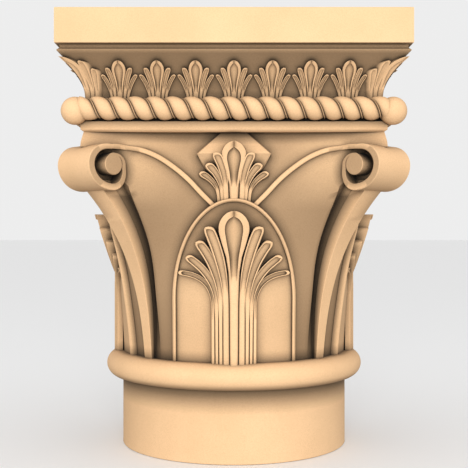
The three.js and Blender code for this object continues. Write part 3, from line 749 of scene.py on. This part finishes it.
# Stone
def stone_material():
    material = bpy.data.materials.new("warm_stone")
    material.use_nodes = True
    nodes = material.node_tree.nodes
    links = material.node_tree.links
    surface = nodes["Principled BSDF"]
    surface.inputs["Roughness"].default_value = 0.88
    surface.inputs["Specular IOR Level"].default_value = 0.25
    place = nodes.new("ShaderNodeTexCoord").outputs["Object"]

    def noise(scale, detail, roughness=0.6):
        node = nodes.new("ShaderNodeTexNoise")
        node.inputs["Scale"].default_value = scale
        node.inputs["Detail"].default_value = detail
        node.inputs["Roughness"].default_value = roughness
        links.new(place, node.inputs["Vector"])
        return node.outputs["Fac"]

    def ramp(value, low, high, stops=(0.35, 0.65)):
        node = nodes.new("ShaderNodeValToRGB")
        node.color_ramp.elements[0].position = stops[0]
        node.color_ramp.elements[1].position = stops[1]
        node.color_ramp.elements[0].color = (*low, 1)
        node.color_ramp.elements[1].color = (*high, 1)
        links.new(value, node.inputs["Fac"])
        return node.outputs["Color"]

    def multiplied(a, b):
        node = nodes.new("ShaderNodeMix")
        node.data_type = "RGBA"
        node.blend_type = "MULTIPLY"
        node.inputs["Factor"].default_value = 1.0
        links.new(a, node.inputs["A"])
        links.new(b, node.inputs["B"])
        return node.outputs["Result"]

    drift = ramp(noise(9, 3), (0.79, 0.505, 0.275), (0.85, 0.55, 0.305))
    grain = ramp(noise(900, 2, 0.7), (0.86, 0.85, 0.83), (1.0, 1.0, 1.0), (0.3, 0.6))
    colour = multiplied(drift, grain)
    # Painted shade by place, read from a vertex value, darkens the base colour.
    painted_shade = nodes.new("ShaderNodeAttribute")
    painted_shade.attribute_name = "painted_shade"
    colour = multiplied(colour, painted_shade.outputs["Fac"])
    # Painted shade: ambient occlusion darkens the base colour, a far reach for the shade of the capital's own
    # overhangs and a near one for creases.
    for reach, power, samples in ((0.3, 0.35, 6), (0.014, 1.5, 8)):
        painted_shade_ao = nodes.new("ShaderNodeAmbientOcclusion")
        painted_shade_ao.inputs["Distance"].default_value = reach
        painted_shade_ao.samples = samples
        painted_shade_ao.only_local = True
        painted_shade_factor = nodes.new("ShaderNodeMath")
        painted_shade_factor.operation = "POWER"
        painted_shade_factor.inputs[1].default_value = power
        links.new(painted_shade_ao.outputs["AO"], painted_shade_factor.inputs[0])
        colour = multiplied(colour, painted_shade_factor.outputs["Value"])
    links.new(colour, surface.inputs["Base Color"])
    bump = nodes.new("ShaderNodeBump")
    bump.inputs["Strength"].default_value = 0.25
    bump.inputs["Distance"].default_value = 0.0006
    links.new(noise(1400, 3, 0.7), bump.inputs["Height"])
    links.new(bump.outputs["Normal"], surface.inputs["Normal"])
    return material


def painted_shade_at(u, w, z):
    """How light the stone's colour is painted at a place: painted shade on the grounds behind the carving and
    in other places where shade falls.
    """
    side = (w - u) / SQRT2
    reach = (w + u) / SQRT2
    # Painted shadow of the ring on the top of the neck.
    if z < NECK_HEIGHT + 9:
        below = smooth(share(z, NECK_PAINTED_SHADOW_FOOT, NECK_HEIGHT - 6))
        above = share(z, NECK_HEIGHT + 9, NECK_HEIGHT + 1)
        return 1 - NECK_PAINTED_SHADOW * float(below * above)
    if z < BAND_Z:
        # Painted shade on the volute's web and on the coil's side faces.
        if reach > 200 and VOLUTE_FOOT + 5 < z < VOLUTE_TOP - 4:
            if abs(side - VOLUTE_WEB / 2) < 0.5 or side > VOLUTE_THICKNESS / 2 - 0.4:
                return VOLUTE_PAINTED_SHADE_LEVEL
        if z > RING_Z + 10:
            strap_reach, strap_half = strap_at(z)[:2]
            # Painted shade on the straps' sides.
            if z < VOLUTE_FOOT and side < strap_half + 9 and reach < strap_reach - 1.5:
                return STRAP_SIDE_PAINTED_SHADE_LEVEL
            proud = w - bell_w(u, z)
            # Painted shade on the arch plate, darker towards its top.
            if 3.9 < proud < 5.2 and u < ARCH_HALF - 3 and z < ARCH_TOP - 3:
                return PLATE_PAINTED_SHADE_LEVEL - PLATE_PAINTED_SHADE_TOP * float(share(z, 200, 300))
            # Painted shade on the grounds behind the carving: more low down, less high up towards the
            # corners.
            depth = float(share(3.5 - proud, 0, 3))
            low = float(share(z, RING_Z + 110, RING_Z + 10))
            high = float(share(z, BAND_Z - 90, BAND_Z - 20))
            shade_eased = 0.16 + 0.3 * float(share(u, 60, 110))
            return 1 - depth * (GROUND_PAINTED_SHADE + 0.12 * low - shade_eased * high)
        return 1.0
    # Painted shade on the frieze wall between the leaves.
    if ROPE_Z < z <= FILLET_Z:
        return 1 - FRIEZE_PAINTED_SHADE * float(share(2.4 - (w - frieze_half(z)), 0, 2))
    # Painted shade in the cove under the slab.
    if FILLET_Z < z < SLAB_Z and w < SLAB_HALF - 1.5:
        return COVE_PAINTED_SHADE_LEVEL
    return 1.0


def paint_shade(mesh):
    values = []
    for vertex in mesh.vertices:
        x, y, z = (abs(c) / MM for c in vertex.co)
        values.append(painted_shade_at(min(x, y), max(x, y), z))
    mesh.attributes.new("painted_shade", "FLOAT", "POINT").data.foreach_set("value", values)


def carve():
    """The whole block, as one closed mesh."""
    grooves = [turned(strap_groove(), quarter) for quarter in range(4)]
    body = merged("bell", [bell(), *grooves], "DIFFERENCE")
    one_face = [*arch_plate(), *small_palmette(), boss(), *rib(), *large_palmette(), strap(), *volute(),
                rope(), ball(), *corner_leaf()]
    for i in range(FRIEZE_LEAVES):
        one_face += frieze_palmette((i - (FRIEZE_LEAVES - 1) / 2) * FRIEZE_PITCH)
    face = merged("face", one_face)
    faces = [turned(face, quarter) for quarter in range(4)]
    mesh = merged("capital_stone", [body, neck_and_ring(), entablature(), *faces])
    mesh.name = "capital_stone"
    # Painted shade by place, stored as a value on each vertex.
    paint_shade(mesh)
    mesh.shade_smooth()
    mesh.set_sharp_from_angle(angle=math.radians(38))
    piece = bpy.data.objects.new("capital_stone", mesh)
    bpy.context.scene.collection.objects.link(piece)
    return piece


capital = carve()
capital.data.materials.clear()
capital.data.materials.append(stone_material())
print("triangles", sum(len(p.vertices) - 2 for p in capital.data.polygons))
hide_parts("capital")
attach(capital, "root")


# Floor, light and camera
def plain_material(name, colour, roughness):
    material = bpy.data.materials.new(name)
    material.use_nodes = True
    surface = material.node_tree.nodes["Principled BSDF"]
    surface.inputs["Base Color"].default_value = (*colour, 1)
    surface.inputs["Roughness"].default_value = roughness
    return material


def floor():
    half = 40.0
    mesh = bpy.data.meshes.new("floor")
    corners = [(-half, -half, 0), (half, -half, 0), (half, half, 0), (-half, half, 0)]
    mesh.from_pydata(corners, [], [(0, 1, 2, 3)])
    mesh.materials.append(plain_material("floor", (0.9, 0.9, 0.9), 0.9))
    plane = bpy.data.objects.new("floor", mesh)
    plane.location.z = cad_box[0][2] - 0.0005
    plane.visible_diffuse = False
    bpy.context.scene.collection.objects.link(plane)
    return plane


floor()


def area_light(name, place, aim, size, power):
    light = bpy.data.lights.new(name, "AREA")
    light.energy = power
    light.size = size
    lamp = bpy.data.objects.new(name, light)
    lamp.location = place
    lamp.rotation_euler = (Vector(aim) - Vector(place)).to_track_quat("-Z", "Y").to_euler()
    bpy.context.scene.collection.objects.link(lamp)


def studio_sky(above, below):
    """Even light from all round above the horizon, and little from under it."""
    world = bpy.data.worlds.new("studio")
    world.use_nodes = True
    nodes = world.node_tree.nodes
    links = world.node_tree.links
    split = nodes.new("ShaderNodeSeparateXYZ")
    links.new(nodes.new("ShaderNodeTexCoord").outputs["Generated"], split.inputs["Vector"])
    level = nodes.new("ShaderNodeMapRange")
    level.inputs["From Min"].default_value = -0.2
    level.inputs["From Max"].default_value = -0.01
    level.inputs["To Min"].default_value = below
    level.inputs["To Max"].default_value = above
    links.new(split.outputs["Z"], level.inputs["Value"])
    background = nodes["Background"]
    background.inputs["Color"].default_value = (1, 1, 1, 1)
    links.new(level.outputs["Result"], background.inputs["Strength"])
    return world


area_light("front", (0.0, -2.6, 0.35), (0, 0, 0.3), 1.2, 71)
bpy.context.scene.world = studio_sky(0.85, 0.3)
bpy.context.scene.view_settings.view_transform = "Standard"

camera_data = bpy.data.cameras.new("camera")
camera_data.sensor_width = SENSOR_WIDTH
camera_data.lens = FOCAL_PIXELS / PICTURE_PIXELS * SENSOR_WIDTH
camera = bpy.data.objects.new("camera", camera_data)
camera.location = (0.0, -CAMERA_DISTANCE, CAMERA_HEIGHT)
camera.rotation_euler = (math.pi / 2, 0, 0)
bpy.context.scene.collection.objects.link(camera)
bpy.context.scene.camera = camera
